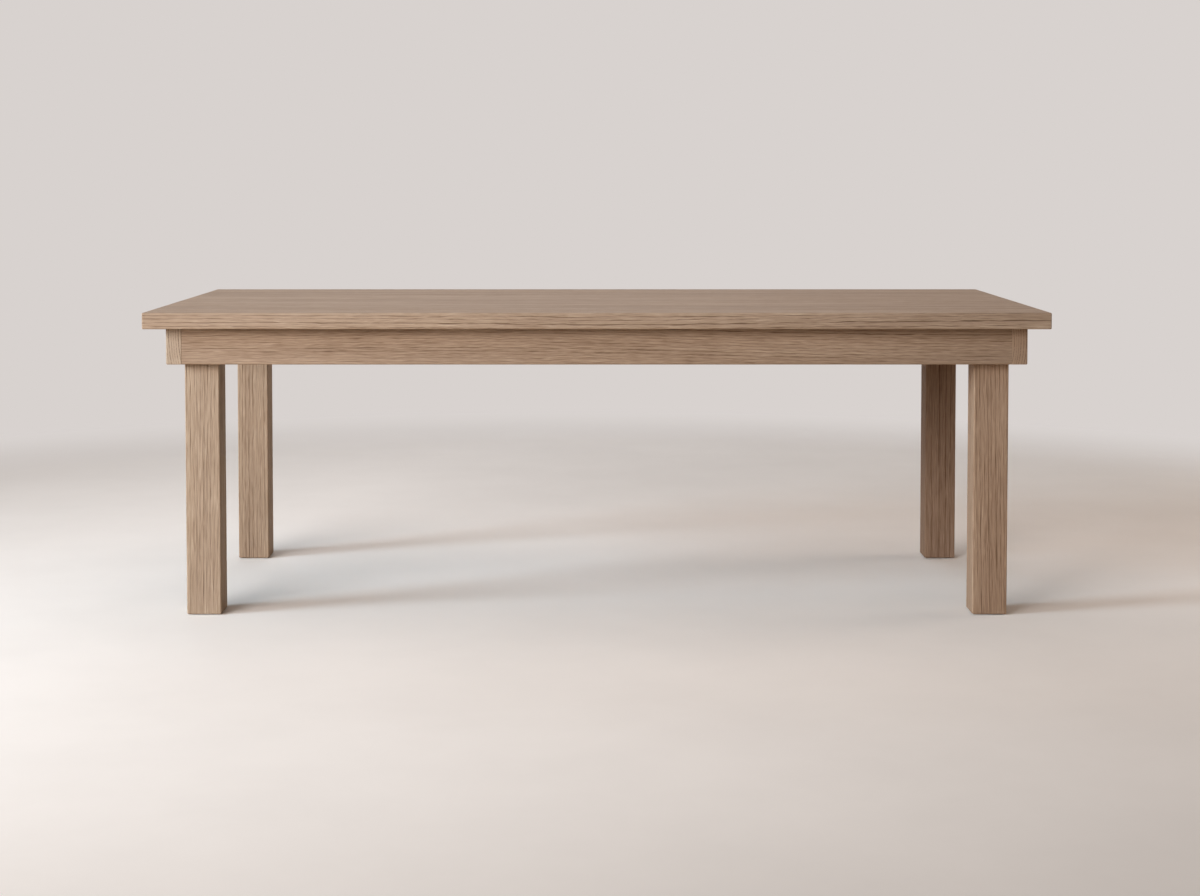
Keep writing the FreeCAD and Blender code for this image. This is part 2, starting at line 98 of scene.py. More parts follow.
@dataclass
class Graph:
    """A node tree under construction, for a material or for Geometry Nodes."""

    tree: bpy.types.NodeTree

    def add(self, kind: str, feeds: dict[str | int, Feed] | None = None, **settings: object) -> Node:
        """Adds a node.

        Args:
            kind: The node's type name.
            feeds: Input sockets, by name or number, with what goes into each.
            **settings: The node's own properties.

        Returns:
            The new node.
        """
        node = self.tree.nodes.new(kind)
        for name, value in settings.items():
            setattr(node, name, value)
        for key, value in (feeds or {}).items():
            self.feed(node.inputs[key], value)
        return node

    def feed(self, socket: Socket, value: Feed) -> None:
        """Links a socket's value in, or sets it where it is a constant.

        Args:
            socket: The input socket.
            value: An output socket or a constant.
        """
        if isinstance(value, Socket):
            self.tree.links.new(value, socket)
        else:
            socket.default_value = value

    def math(self, operation: str, *values: Feed) -> Socket:
        """The result of one sum on numbers."""
        return self.add("ShaderNodeMath", dict(enumerate(values)), operation=operation).outputs[0]

    def plus(self, first: Feed, second: Feed) -> Socket:
        """Two numbers added."""
        return self.math("ADD", first, second)

    def minus(self, first: Feed, second: Feed) -> Socket:
        """One number less another."""
        return self.math("SUBTRACT", first, second)

    def times(self, first: Feed, second: Feed) -> Socket:
        """Two numbers multiplied."""
        return self.math("MULTIPLY", first, second)

    def vector(self, operation: str, *values: Feed) -> Socket:
        """The result of one sum on vectors, a number where the sum gives one."""
        node = self.add("ShaderNodeVectorMath", dict(enumerate(values)), operation=operation)
        return node.outputs["Value" if operation in {"DOT_PRODUCT", "LENGTH"} else "Vector"]

    def scaled(self, vector: Feed, factor: Feed) -> Socket:
        """A vector times a number."""
        node = self.add("ShaderNodeVectorMath", {0: vector, "Scale": factor}, operation="SCALE")
        return node.outputs["Vector"]

    def split(self, vector: Feed) -> tuple[Socket, Socket, Socket]:
        """A vector's three parts."""
        return tuple(self.add("ShaderNodeSeparateXYZ", {0: vector}).outputs)

    def join(self, x: Feed, y: Feed, z: Feed) -> Socket:
        """A vector from three parts."""
        return self.add("ShaderNodeCombineXYZ", {0: x, 1: y, 2: z}).outputs[0]

    def alike(self, value: Feed) -> Socket:
        """A vector with the same number in all three parts."""
        return self.join(value, value, value)

    def position(self) -> Socket:
        """Each point's place, in Geometry Nodes."""
        return self.add("GeometryNodeInputPosition").outputs[0]

    def surface_place(self) -> Socket:
        """A place on the piece, in a material."""
        return self.add("ShaderNodeTexCoord").outputs["Object"]

    def remap(self, value: Feed, span: Span, to: Span = (0.0, 1.0), smooth: bool = False) -> Socket:
        """A number moved from one span to another and held inside it.

        Args:
            value: The number.
            span: Where the first span starts and ends.
            to: What its start and its end become.
            smooth: Whether the ends are eased.

        Returns:
            The number in the second span.
        """
        feeds = {"Value": value, "From Min": span[0], "From Max": span[1], "To Min": to[0], "To Max": to[1]}
        kind = "SMOOTHSTEP" if smooth else "LINEAR"
        return self.add("ShaderNodeMapRange", feeds, interpolation_type=kind, clamp=True).outputs[0]

    def noise(
        self,
        place: Feed,
        stretch: Triple,
        detail: float = 1.0,
        roughness: float = 0.5,
        threefold: bool = False,
    ) -> Socket:
        """Smooth noise over a place.

        Args:
            place: The place, in metres.
            stretch: How many waves go into a metre each way.
            detail: How many finer octaves are added.
            roughness: How strong they are.
            threefold: Whether three noises are wanted, as a vector.

        Returns:
            The noise, about a half.
        """
        spot = self.vector("MULTIPLY", place, stretch)
        feeds = {"Vector": spot, "Scale": 1.0, "Detail": detail, "Roughness": roughness}
        node = self.add("ShaderNodeTexNoise", feeds, noise_dimensions="3D")
        return node.outputs["Color" if threefold else 0]

    def colour_mix(self, factor: Feed, first: Feed, second: Feed, kind: str = "MIX") -> Socket:
        """Two colours laid over each other.

        Args:
            factor: How much of the second shows.
            first: The colour below.
            second: The colour above.
            kind: How they are laid over each other.

        Returns:
            The mixed colour.
        """
        feeds = {0: factor, 6: first, 7: second}
        node = self.add("ShaderNodeMix", feeds, data_type="RGBA", blend_type=kind, clamp_factor=True)
        return node.outputs[2]


def new_material(name: str) -> tuple[Material, Graph]:
    """An empty node material.

    Args:
        name: The finish's name.

    Returns:
        The material and its graph.
    """
    material = bpy.data.materials.new(name)
    material.use_nodes = True
    material.node_tree.nodes.clear()
    return material, Graph(material.node_tree)


def close_surface(
    graph: Graph, colour: Feed, roughness: Feed, height: Feed, depth: float, strength: float
) -> Node:
    """Ends a material in its surface shader, with a fine relief.

    Args:
        graph: The material's graph.
        colour: Base colour.
        roughness: Roughness.
        height: The relief's height, of about one.
        depth: How much one is, in metres.
        strength: How much of the relief shows.

    Returns:
        The surface shader.
    """
    relief = graph.add("ShaderNodeBump", {"Height": height, "Distance": depth, "Strength": strength})
    feeds = {"Base Color": colour, "Roughness": roughness, "Normal": relief.outputs[0]}
    shader = graph.add("ShaderNodeBsdfPrincipled", feeds)
    graph.add("ShaderNodeOutputMaterial", {"Surface": shader.outputs[0]})
    return shader


# Finishes


@dataclass(frozen=True)
class BrushedOak:
    """Pale oak, wire-brushed so that each ring's soft early wood lies lower and darker, with a matt oil.

    The grain is worked out in the timber itself, from each board's own distances along, across and through
    the tree, so that a line on a face carries on over the arris and ends in a ring on the end grain.

    A pattern's three numbers are how many of its waves go into a metre along, across and through the tree.
    A span is the part of a noise, from 0 to 1, over which what it rules comes in.
    """

    name: str
    stops: tuple[tuple[float, Colour], ...] = (
        (0.0, tint(84, 66, 53)),
        (0.24, tint(115, 95, 79)),
        (0.5, tint(148, 129, 112)),
        (0.76, tint(166, 148, 131)),
        (1.0, tint(187, 171, 154)),
    )
    middle: float = 0.5
    bends: Triple = (0.6, 6.0, 6.0)
    bend: float = 34.0 * MM
    ripples: Triple = (12.0, 50.0, 50.0)
    ripple: float = 3.4 * MM

    ring_width: float = 7.0 * MM
    ring_strength: float = 0.66
    ring_lift: float = 0.21
    ring_wander: Triple = (55.0, 1.0, 1.0)
    early_share: float = 0.22
    onset: float = 0.92
    faintest_ring: float = 0.3
    ring_breaks: Triple = (18.0, 320.0, 320.0)
    break_span: Pair = (0.38, 0.6)
    broken_ring: float = 0.2
    slant_span: Pair = (0.15, 0.7)
    flat_clarity: float = 0.3
    end_clarity: float = 0.7

    broad_fibres: Triple = (16.0, 480.0, 480.0)
    fine_fibres: Triple = (32.0, 920.0, 920.0)
    fibre_span: Pair = (0.25, 0.75)
    fibre_strength: float = 0.16
    fine_share: float = 1.3
    end_span: Pair = (0.2, 0.8)
    end_fibres: float = 0.25

    pore: Colour = tint(84, 63, 48)
    long_pores: Triple = (26.0, 900.0, 900.0)
    long_span: Pair = (0.56, 0.68)
    short_pores: Triple = (70.0, 2200.0, 2200.0)
    short_span: Pair = (0.58, 0.7)
    short_strength: float = 0.7
    crowd_span: Pair = (0.0, 0.8)
    loose_pores: float = 0.3
    pore_strength: float = 0.5
    pore_depth: float = 0.5

    clouds: Triple = (1.8, 22.0, 22.0)
    cloud_strength: float = 0.1
    grey: Colour = tint(150, 134, 121)
    silvering: Triple = (1.1, 8.0, 8.0)
    silver_span: Pair = (0.42, 0.7)
    silver_strength: float = 0.3
    worn: Colour = tint(186, 167, 146)
    worn_strength: float = 0.12

    relief: float = 0.4 * MM
    relief_strength: float = 0.9
    roughness: float = 0.58
    ring_roughness: float = 0.12
    shine: float = 0.05

    def material(self) -> Material:
        """The finish as a material that reads a board's grain, tone and cut attributes. On the legs and the
        end aprons the tint it multiplies in is painted light and shade.
        """
        material, graph = new_material(self.name)
        grain, tone, cut = (
            graph.add("ShaderNodeAttribute", attribute_name=name).outputs["Vector"]
            for name in ("grain", "tone", "cut")
        )
        edge, slant, end = graph.split(cut)
        timber = self.timber(graph, grain)
        clear = graph.remap(slant, self.slant_span, (self.flat_clarity, 1.0))
        clear = graph.plus(clear, graph.times(end, self.end_clarity))
        ring = graph.times(self.rings(graph, timber), clear)
        pores = self.pores(graph, timber, ring)

        brushed = graph.remap(end, self.end_span, (1.0, self.end_fibres))
        fibre = graph.times(self.fibres(graph, timber), brushed)
        cloud = graph.noise(grain, self.clouds, detail=2.0)
        cloud = graph.remap(cloud, NOISE_MIDDLE, (-self.cloud_strength, self.cloud_strength))
        level = graph.minus(graph.plus(fibre, cloud), graph.times(ring, self.ring_strength))
        colour = self.colour(graph, graph.plus(level, self.middle + self.ring_lift * self.ring_strength))
        silver = graph.noise(grain, self.silvering)
        silver = graph.remap(silver, self.silver_span, (0.0, self.silver_strength))
        for share, above in (
            (silver, self.grey),
            (graph.times(pores, self.pore_strength), self.pore),
            (graph.times(edge, self.worn_strength), self.worn),
        ):
            colour = graph.colour_mix(share, colour, above)
        # Multiplies in each board's tint: random on the top planks, painted light and shade on the legs and
        # the end aprons.
        colour = graph.colour_mix(1.0, colour, tone, "MULTIPLY")

        rough = graph.remap(ring, (0.0, 1.0), (self.roughness, self.roughness + self.ring_roughness))
        height = graph.minus(level, graph.times(pores, self.pore_depth))
        shader = close_surface(graph, colour, rough, height, self.relief, self.relief_strength)
        graph.feed(shader.inputs["Specular IOR Level"], self.shine)
        return material

    def timber(self, graph: Graph, grain: Socket) -> Socket:
        """A place in the tree, with the trunk's own bends and ripples.

        Args:
            graph: The material's graph.
            grain: The place in the board's timber.

        Returns:
            The place along, across and through the straightened tree.
        """
        sways = []
        for stretch, detail, reach in ((self.bends, 1.0, self.bend), (self.ripples, 2.0, self.ripple)):
            noise = graph.noise(grain, stretch, detail, threefold=True)
            sways.append(graph.scaled(graph.vector("SUBTRACT", noise, (0.5, 0.5, 0.5)), reach))
        return graph.vector("ADD", grain, graph.vector("ADD", *sways))

    def rings(self, graph: Graph, timber: Socket) -> Socket:
        """The growth rings.

        Args:
            graph: The material's graph.
            timber: The place in the tree.

        Returns:
            How dark the early wood's line is at a place.
        """
        out = graph.vector("LENGTH", graph.vector("MULTIPLY", timber, (0.0, 1.0, 1.0)))
        wander = graph.noise(graph.join(out, 0.0, 0.0), self.ring_wander)
        count = graph.math("MULTIPLY_ADD", out, 1.0 / self.ring_width, wander)
        share = graph.math("FRACT", count)
        early = graph.remap(share, (0.0, self.early_share), (1.0, 0.0), smooth=True)
        onset = graph.remap(share, (self.onset, 1.0), smooth=True)
        number = graph.plus(graph.math("FLOOR", count), graph.math("GREATER_THAN", share, self.onset))
        weight = graph.add("ShaderNodeTexWhiteNoise", {"W": number}, noise_dimensions="1D").outputs["Value"]
        breaks = graph.noise(timber, self.ring_breaks, detail=2.0, roughness=0.6)
        strength = graph.remap(weight, (0.0, 1.0), (self.faintest_ring, 1.0))
        strength = graph.times(strength, graph.remap(breaks, self.break_span, (self.broken_ring, 1.0)))
        return graph.times(graph.math("MAXIMUM", early, onset), strength)

    def fibres(self, graph: Graph, timber: Socket) -> Socket:
        """The brushed fibres, in long light and dark streaks.

        Args:
            graph: The material's graph.
            timber: The place in the tree.

        Returns:
            How light or dark the fibres are, about zero.
        """
        broad, fine = (
            graph.remap(graph.noise(timber, stretch), self.fibre_span, (-reach, reach))
            for stretch, reach in (
                (self.broad_fibres, self.fibre_strength),
                (self.fine_fibres, self.fine_share * self.fibre_strength),
            )
        )
        return graph.plus(broad, fine)

    def pores(self, graph: Graph, timber: Socket, ring: Socket) -> Socket:
        """The open pores, long dashes that crowd into the early wood.

        Args:
            graph: The material's graph.
            timber: The place in the tree.
            ring: How dark the early wood's line is at a place.

        Returns:
            How much of a place is pore.
        """
        long = graph.remap(graph.noise(timber, self.long_pores), self.long_span)
        short = graph.noise(timber, self.short_pores, detail=0.0)
        short = graph.remap(short, self.short_span, (0.0, self.short_strength))
        crowd = graph.remap(ring, self.crowd_span, (self.loose_pores, 1.0))
        return graph.times(graph.math("MAXIMUM", long, short), crowd)

    def colour(self, graph: Graph, level: Socket) -> Socket:
        """The wood's own colour.

        Args:
            graph: The material's graph.
            level: How light the wood is, 0 to 1.

        Returns:
            The colour between the stops.
        """
        scale = graph.add("ShaderNodeValToRGB", {0: level})
        found = scale.color_ramp.elements
        for index, (place, colour) in enumerate(self.stops):
            stop = found[index] if index < 2 else found.new(place)
            stop.position = place
            stop.color = colour
        return scale.outputs[0]


@dataclass(frozen=True)
class PlanedBeech:
    """Unfinished beech, pinkish and close-grained, with short darker flecks."""

    name: str = "planed_beech"
    light: Colour = tint(205, 172, 138)
    body: Colour = tint(188, 150, 115)
    fleck: Colour = tint(140, 102, 74)
    streaks: Triple = (60.0, 14.0, 90.0)
    streak_span: Pair = (0.32, 0.68)
    dashes: Triple = (420.0, 110.0, 900.0)
    fleck_span: Pair = (0.58, 0.68)
    fleck_strength: float = 0.6
    roughness: Pair = (0.62, 0.75)
    relief: float = 0.1 * MM
    relief_strength: float = 0.5

    def material(self) -> Material:
        """The finish as a material on the piece's own place."""
        material, graph = new_material(self.name)
        place = graph.surface_place()
        streak = graph.noise(place, self.streaks, detail=3.0, roughness=0.6)
        colour = graph.colour_mix(graph.remap(streak, self.streak_span), self.body, self.light)
        dashes = graph.noise(place, self.dashes)
        flecks = graph.remap(dashes, self.fleck_span, (0.0, self.fleck_strength))
        colour = graph.colour_mix(flecks, colour, self.fleck)
        rough = graph.remap(streak, NOISE_MIDDLE, self.roughness)
        close_surface(graph, colour, rough, dashes, self.relief, self.relief_strength)
        return material


@dataclass(frozen=True)
class ZincSteel:
    """Zinc-plated steel, a little cloudy and finely scratched."""

    name: str = "zinc_plated_steel"
    bright: Colour = tint(205, 207, 210)
    dull: Colour = tint(168, 170, 172)
    clouds: Triple = (260.0, 260.0, 260.0)
    cloud_span: Pair = (0.35, 0.65)
    scratches: Triple = (300.0, 2400.0, 2400.0)
    roughness: Pair = (0.3, 0.46)
    relief: float = 0.02 * MM
    relief_strength: float = 0.4

    def material(self) -> Material:
        """The finish as a material on the piece's own place."""
        material, graph = new_material(self.name)
        place = graph.surface_place()
        cloud = graph.noise(place, self.clouds, detail=3.0)
        colour = graph.colour_mix(graph.remap(cloud, self.cloud_span), self.dull, self.bright)
        rough = graph.remap(cloud, NOISE_MIDDLE, self.roughness)
        scratch = graph.noise(place, self.scratches)
        shader = close_surface(graph, colour, rough, scratch, self.relief, self.relief_strength)
        graph.feed(shader.inputs["Metallic"], 1.0)
        return material


@dataclass(frozen=True)
class MouldedNylon:
    """Dark moulded nylon, scuffed paler where it slides."""

    name: str = "moulded_nylon"
    body: Colour = tint(66, 58, 52)
    scuff: Colour = tint(104, 95, 88)
    clouds: Triple = (180.0, 180.0, 180.0)
    scuff_span: Pair = (0.45, 0.7)
    scuff_strength: float = 0.7
    roughness: Pair = (0.5, 0.65)
    relief: float = 0.05 * MM
    relief_strength: float = 0.4

    def material(self) -> Material:
        """The finish as a material on the piece's own place."""
        material, graph = new_material(self.name)
        cloud = graph.noise(graph.surface_place(), self.clouds, detail=3.0, roughness=0.6)
        scuffs = graph.remap(cloud, self.scuff_span, (0.0, self.scuff_strength))
        colour = graph.colour_mix(scuffs, self.body, self.scuff)
        rough = graph.remap(cloud, NOISE_MIDDLE, self.roughness)
        close_surface(graph, colour, rough, cloud, self.relief, self.relief_strength)
        return material


# Geometry Nodes trees


class Tree:
    """A Geometry Nodes tree with named inputs that ends in one real mesh with its material."""

    def __init__(self, name: str, inputs: dict[str, tuple[str, ...]]) -> None:
        """Starts the tree.

        Args:
            name: The tree's name.
            inputs: The names of its inputs, by the kind of their sockets. A material is added to them.
        """
        self.group = bpy.data.node_groups.new(name, "GeometryNodeTree")
        self.graph = Graph(self.group)
        self.keys: dict[str, str] = {}
        face = self.group.interface
        face.new_socket("Geometry", in_out="INPUT", socket_type="NodeSocketGeometry")
        for kind, labels in (inputs | {"Material": ("Material",)}).items():
            for label in labels:
                socket = face.new_socket(label, in_out="INPUT", socket_type=f"NodeSocket{kind}")
                self.keys[label] = socket.identifier
        face.new_socket("Geometry", in_out="OUTPUT", socket_type="NodeSocketGeometry")
        self.inputs = self.graph.add("NodeGroupInput").outputs

    def close(self, geometry: Socket, angle: float) -> None:
        """Ends the tree: smooth shading, one real mesh, and its material.

        Args:
            geometry: What the tree has made.
            angle: The least angle between faces that makes a hard edge, in degrees.
        """
        graph = self.graph
        shade = "GeometryNodeSetShadeSmooth"
        faces = graph.add(shade, {"Geometry": geometry, "Shade Smooth": True}, domain="FACE").outputs[0]
        bend = graph.add("GeometryNodeInputMeshEdgeAngle").outputs[0]
        hard = graph.math("GREATER_THAN", bend, math.radians(angle))
        feeds = {"Geometry": faces, "Selection": hard, "Shade Smooth": False}
        edges = graph.add(shade, feeds, domain="EDGE").outputs[0]
        real = graph.add("GeometryNodeRealizeInstances", {"Geometry": edges}).outputs[0]
        feeds = {"Geometry": real, "Material": self.inputs["Material"]}
        graph.add("NodeGroupOutput", {0: graph.add("GeometryNodeSetMaterial", feeds).outputs[0]})

    def moved(self, geometry: Socket, place: Socket) -> Socket:
        """A mesh with its points in other places."""
        feeds = {"Geometry": geometry, "Position": place}
        return self.graph.add("GeometryNodeSetPosition", feeds).outputs[0]

    def grow(self, name: str, base: bpy.types.Mesh, values: dict[str, object]) -> Piece:
        """Runs the tree on a mesh and keeps the result as a plain mesh.

        Args:
            name: The piece's name.
            base: The mesh that goes in.
            values: What each named input gets.

        Returns:
            The finished piece, at the origin.
        """
        piece = bpy.data.objects.new(name, base)
        bpy.context.scene.collection.objects.link(piece)
        modifier = piece.modifiers.new(name, "NODES")
        modifier.node_group = self.group
        for label, value in values.items():
            modifier[self.keys[label]] = value
        return settle(piece)


def settle(piece: Piece) -> Piece:
    """Turns a piece's modifiers into a plain mesh.

    Args:
        piece: The piece with its modifiers.

    Returns:
        The same piece, with none left.
    """
    graph = bpy.context.evaluated_depsgraph_get()
    shown = piece.evaluated_get(graph)
    mesh = bpy.data.meshes.new_from_object(shown, preserve_all_data_layers=True, depsgraph=graph)
    piece.modifiers.clear()
    piece.data = mesh
    mesh.name = piece.name
    return piece


class EasedBoardTree(Tree):
    """A board with finely divided arrises, rounded unevenly, cut by the solid it stands for.

    The board is spaced out between its low and high corners with narrow bands along its arrises. A side
    whose ease corner lies beyond the board stays square, for a tight joint.

    Attributes:
        BANDS: How many rows of faces go from an arris to the flat of a side.
        HARD_EDGE: The least angle of a hard edge, in degrees.
        WEAR_SPAN: The part of a noise, from 0 to 1, over which the arrises go from worn least to worn most.
        WORN_WIDTH: How far from an arris the wood is rubbed pale.
    """

    BANDS = 5
    HARD_EDGE = 32.0
    WEAR_SPAN = (0.3, 0.72)
    WORN_WIDTH = 7.0 * MM

    def __init__(self) -> None:
        """Builds the tree."""
        corners = ("Low", "High", "Ease Low", "Ease High")
        timber = ("Along", "Across", "Through", "Heart", "Tone")
        inputs = {
            "Vector": corners + timber,
            "Float": ("Least Radius", "Most Radius", "Wear Length", "Seed"),
            "Int": ("Count X", "Count Y", "Count Z"),
            "Object": ("Solid",),
        }
        super().__init__("Eased board", inputs)
        self.close(self.marked(self.cut(self.rounded(self.spaced()))), self.HARD_EDGE)

    def spaced(self) -> Socket:
        """The board as a square box with its rows drawn together at the arrises.

        Returns:
            The square box.
        """
        graph, given = self.graph, self.inputs
        counts = [given[f"Count {letter}"] for letter in "XYZ"]
        feeds = {f"Vertices {letter}": count for letter, count in zip("XYZ", counts)}
        box = graph.add("GeometryNodeMeshCube", feeds | {"Size": (1.0, 1.0, 1.0)}).outputs["Mesh"]
        shares = graph.split(graph.vector("ADD", graph.position(), (0.5, 0.5, 0.5)))
        ways = zip(shares, counts, graph.split(given["Low"]), graph.split(given["High"]))
        return self.moved(box, graph.join(*[self.row(*way) for way in ways]))

    def row(self, share: Socket, count: Socket, low: Socket, high: Socket) -> Socket:
        """Where a row of points stands along one side of the board.

        Args:
            share: How far along the row is, 0 to 1.
            count: How many rows there are.
            low: Where the side starts.
            high: Where the side ends.

        Returns:
            The row's place.
        """
        graph, radius = self.graph, self.inputs["Most Radius"]
        bands = float(self.BANDS)
        last = graph.minus(count, 1.0)
        inner = graph.minus(last, 2.0 * bands)
        middle = graph.minus(graph.math("ROUND", graph.times(share, last)), bands)
        along = graph.remap(middle, (0.0, inner))
        before = graph.remap(middle, (-bands, 0.0), (math.pi / 4, 0.0))
        after = graph.remap(graph.minus(middle, inner), (0.0, bands), (0.0, math.pi / 4))
        span = graph.minus(graph.minus(high, low), graph.times(radius, 2.0))
        core = graph.math("MULTIPLY_ADD", along, span, graph.plus(low, radius))
        swing = graph.minus(graph.math("TANGENT", after), graph.math("TANGENT", before))
        return graph.math("MULTIPLY_ADD", swing, radius, core)

    def rounded(self, geometry: Socket) -> Socket:
        """The box with its arrises rounded, unevenly along their length.

        Args:
            geometry: The square box.

        Returns:
            The eased board.
        """
        graph, given = self.graph, self.inputs
        place = graph.position()
        spot = graph.vector("DIVIDE", place, graph.alike(given["Wear Length"]))
        spot = graph.vector("ADD", spot, graph.alike(given["Seed"]))
        wear = graph.noise(spot, (1.0, 1.0, 1.0), detail=2.0)
        radius = graph.remap(wear, self.WEAR_SPAN, (given["Least Radius"], given["Most Radius"]))
        inset = graph.alike(radius)
        held = graph.vector("MINIMUM", place, graph.vector("SUBTRACT", given["Ease High"], inset))
        held = graph.vector("MAXIMUM", held, graph.vector("ADD", given["Ease Low"], inset))
        reach = graph.vector("SUBTRACT", place, held)
        length = graph.math("MINIMUM", graph.vector("LENGTH", reach), radius)
        out = graph.scaled(graph.vector("NORMALIZE", reach), length)
        return self.moved(geometry, graph.vector("ADD", held, out))

    def cut(self, geometry: Socket) -> Socket:
        """The board with the holes, slots and mortises of the solid it stands for.

        Args:
            geometry: The eased board.

        Returns:
            What the board and the solid share.
        """
        graph = self.graph
        solid = graph.add("GeometryNodeObjectInfo", {"Object": self.inputs["Solid"]}).outputs["Geometry"]
        solid = graph.add("GeometryNodeMergeByDistance", {"Geometry": solid, "Distance": WELD}).outputs[0]
        both = graph.add("GeometryNodeMeshBoolean", operation="INTERSECT", solver="MANIFOLD")
        graph.feed(both.inputs["Mesh 2"], geometry)
        graph.feed(both.inputs["Mesh 2"], solid)
        return both.outputs["Mesh"]

    def marked(self, geometry: Socket) -> Socket:
        """The board with its grain, its tone, which on the legs and the end aprons is painted light and
        shade, and its arrises and the slant of its cut written on it.

        Args:
            geometry: The cut board.

        Returns:
            The board with its three attributes.
        """
        graph, given = self.graph, self.inputs
        place = graph.position()
        normal = graph.add("GeometryNodeInputNormal").outputs[0]
        from_heart = graph.vector("SUBTRACT", place, given["Heart"])
        names = ("Along", "Across", "Through")
        ways = [graph.vector("DOT_PRODUCT", from_heart, given[name]) for name in names]
        below = graph.vector("SUBTRACT", place, given["Ease Low"])
        above = graph.vector("SUBTRACT", given["Ease High"], place)
        x, y, z = graph.split(graph.vector("MINIMUM", below, above))
        least = graph.math("MINIMUM", graph.math("MINIMUM", x, y), z)
        most = graph.math("MAXIMUM", graph.math("MAXIMUM", x, y), z)
        second = graph.minus(graph.minus(graph.plus(graph.plus(x, y), z), least), most)
        edge = graph.remap(second, (0.0, self.WORN_WIDTH), (1.0, 0.0), smooth=True)
        outward = graph.vector("SUBTRACT", from_heart, graph.scaled(given["Along"], ways[0]))
        facing = graph.vector("DOT_PRODUCT", normal, graph.vector("NORMALIZE", outward))
        slant = graph.math("SQRT", graph.minus(1.0, graph.times(facing, facing)))
        end = graph.math("ABSOLUTE", graph.vector("DOT_PRODUCT", normal, given["Along"]))
        marks = {"grain": graph.join(*ways), "tone": given["Tone"], "cut": graph.join(edge, slant, end)}
        kind = {"data_type": "FLOAT_VECTOR", "domain": "POINT"}
        for label, value in marks.items():
            feeds = {"Geometry": geometry, "Name": label, "Value": value}
            geometry = graph.add("GeometryNodeStoreNamedAttribute", feeds, **kind).outputs[0]
        return geometry


class RowTree(Tree):
    """A tree that sets one piece, made along +Z, on every point of a mesh, turned to the point's aim.

    Attributes:
        HARD_EDGE: The least angle of a hard edge, in degrees.
    """

    HARD_EDGE = 35.0

    def set_out(self, piece: Socket) -> None:
        """Sets the piece out on the points and ends the tree.

        Args:
            piece: The piece, with its start at the origin.
        """
        graph = self.graph
        points = graph.add("GeometryNodeMeshToPoints", {"Mesh": self.inputs["Geometry"]}).outputs[0]
        aim = graph.add("GeometryNodeInputNamedAttribute", {"Name": "aim"}, data_type="FLOAT_VECTOR")
        turn = graph.add("FunctionNodeAlignRotationToVector", {"Vector": aim.outputs[0]}, axis="Z")
        feeds = {"Points": points, "Instance": piece, "Rotation": turn.outputs[0]}
        row = graph.add("GeometryNodeInstanceOnPoints", feeds)
        self.close(row.outputs[0], self.HARD_EDGE)

    def rod(self, sides: int, rows: Feed) -> tuple[Socket, Socket, Socket, Socket]:
        """A rod of one metre's radius and length.

        Args:
            sides: How many sides it has.
            rows: How many rows of faces go along it.

        Returns:
            The rod, and each point's place across it both ways and share of the way along it.
        """
        feeds = {"Vertices": sides, "Side Segments": rows, "Radius": 1.0, "Depth": 1.0}
        rod = self.graph.add("GeometryNodeMeshCylinder", feeds, fill_type="NGON").outputs["Mesh"]
        x, y, z = self.graph.split(self.graph.position())
        return rod, x, y, self.graph.plus(z, 0.5)

    def shaped(self, rod: Socket, x: Socket, y: Socket, z: Socket, radius: Socket) -> Socket:
        """The rod with each point, at x and y across it, moved out to a radius and along to z."""
        graph = self.graph
        return self.moved(rod, graph.join(graph.times(x, radius), graph.times(y, radius), z))


class ThreadedTree(RowTree):
    """Screws and bolts: a head or none, a shank with a thread, a point, and a cross for the driver.

    Attributes:
        SIDES: How many sides go round the shank.
        TIP: How much of the radius is left at the tip.
        SIZES: The names of the sizes that go in.
    """

    SIDES = 24
    TIP = 0.06
    SIZES = (
        "Length", "Radius", "Head Radius", "Head Height", "Plain Share", "Point", "Pitch", "Groove",
        "Cross Length", "Cross Width", "Cross Depth"
    )

    def __init__(self, name: str, crossed: bool) -> None:
        """Builds the tree.

        Args:
            name: The tree's name.
            crossed: Whether the head has a cross for the driver.
        """
        super().__init__(name, {"Float": self.SIZES, "Int": ("Rows",)})
        turned = self.turned()
        self.set_out(self.crossed(turned) if crossed else turned)

    def turned(self) -> Socket:
        """The screw with its thread.

        Returns:
            The screw without a cross.
        """
        graph, given = self.graph, self.inputs
        length, pitch = given["Length"], given["Pitch"]
        rod, x, y, share = self.rod(self.SIDES, given["Rows"])
        z = graph.times(share, length)
        radius = graph.remap(z, (0.0, given["Head Height"]), (given["Head Radius"], given["Radius"]))
        turn = graph.times(graph.math("ARCTAN2", y, x), 1.0 / math.tau)
        turns = graph.minus(graph.math("DIVIDE", z, pitch), turn)
        wave = graph.math("PINGPONG", graph.times(turns, 2.0), 1.0)
        start = graph.times(given["Plain Share"], length)
        begun = graph.remap(z, (start, graph.plus(start, pitch)))
        groove = graph.times(graph.times(wave, begun), given["Groove"])
        tip = graph.remap(z, (graph.minus(length, given["Point"]), length), (1.0, self.TIP))
        return self.shaped(rod, x, y, z, graph.times(graph.minus(radius, groove), tip))

    def crossed(self, screw: Socket) -> Socket:
        """The screw with a cross sunk into its head.

        Args:
            screw: The plain screw.

        Returns:
            The screw that a driver fits.
        """
        graph, given = self.graph, self.inputs
        how = {"operation": "DIFFERENCE", "solver": "MANIFOLD"}
        cut = graph.add("GeometryNodeMeshBoolean", {"Mesh 1": screw}, **how)
        deep = graph.times(given["Cross Depth"], 2.0)
        for across, along in (("Cross Width", "Cross Length"), ("Cross Length", "Cross Width")):
            bar = graph.add("GeometryNodeMeshCube", {"Size": graph.join(given[across], given[along], deep)})
            graph.feed(cut.inputs["Mesh 2"], bar.outputs["Mesh"])
        return cut.outputs["Mesh"]


